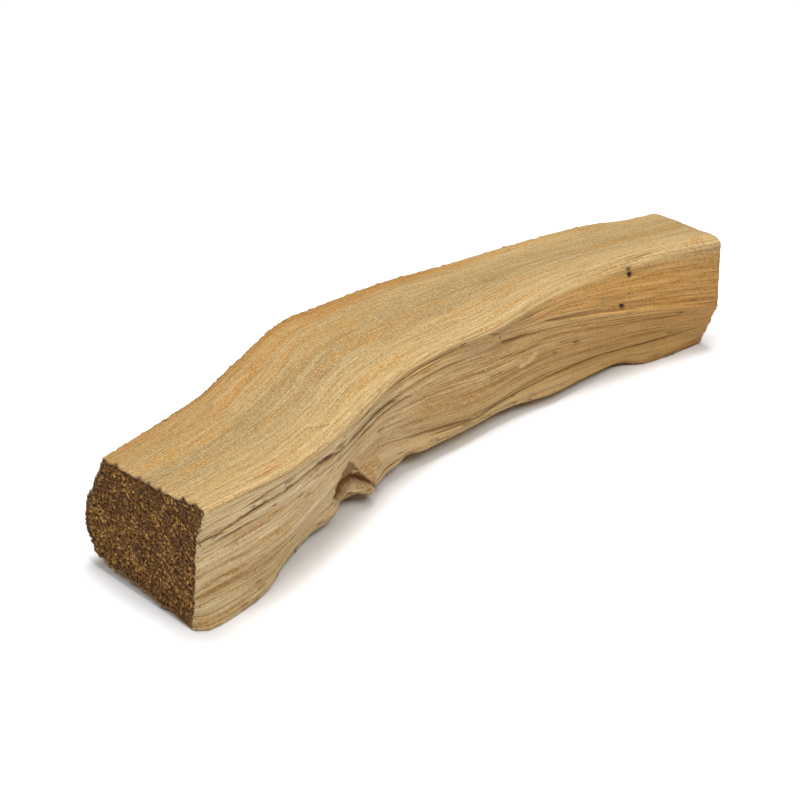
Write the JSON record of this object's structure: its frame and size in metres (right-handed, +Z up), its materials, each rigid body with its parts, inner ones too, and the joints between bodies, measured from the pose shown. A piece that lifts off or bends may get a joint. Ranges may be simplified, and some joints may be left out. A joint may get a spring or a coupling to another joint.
{
  "type": "palo santo stick",
  "caption": "Short split stick of aromatic heartwood, gently bent, with sawn ends, fibrous sides and a torn knot hollow. It is lit or shaved for its scent.",
  "frame": {"origin": "under the middle of the stick's box, on the surface that it lies on", "axes": "+X along the stick from its near sawn end to its far one, +Y towards the outside of the bend, +Z up"},
  "size_m": [0.1, 0.0308, 0.0194],
  "materials": {
    "heartwood": "bare split and sawn heartwood, matte with fine fibre ridges"
  },
  "bodies": {
    "root": {"stick": "heartwood"}
  },
  "joints": []
}
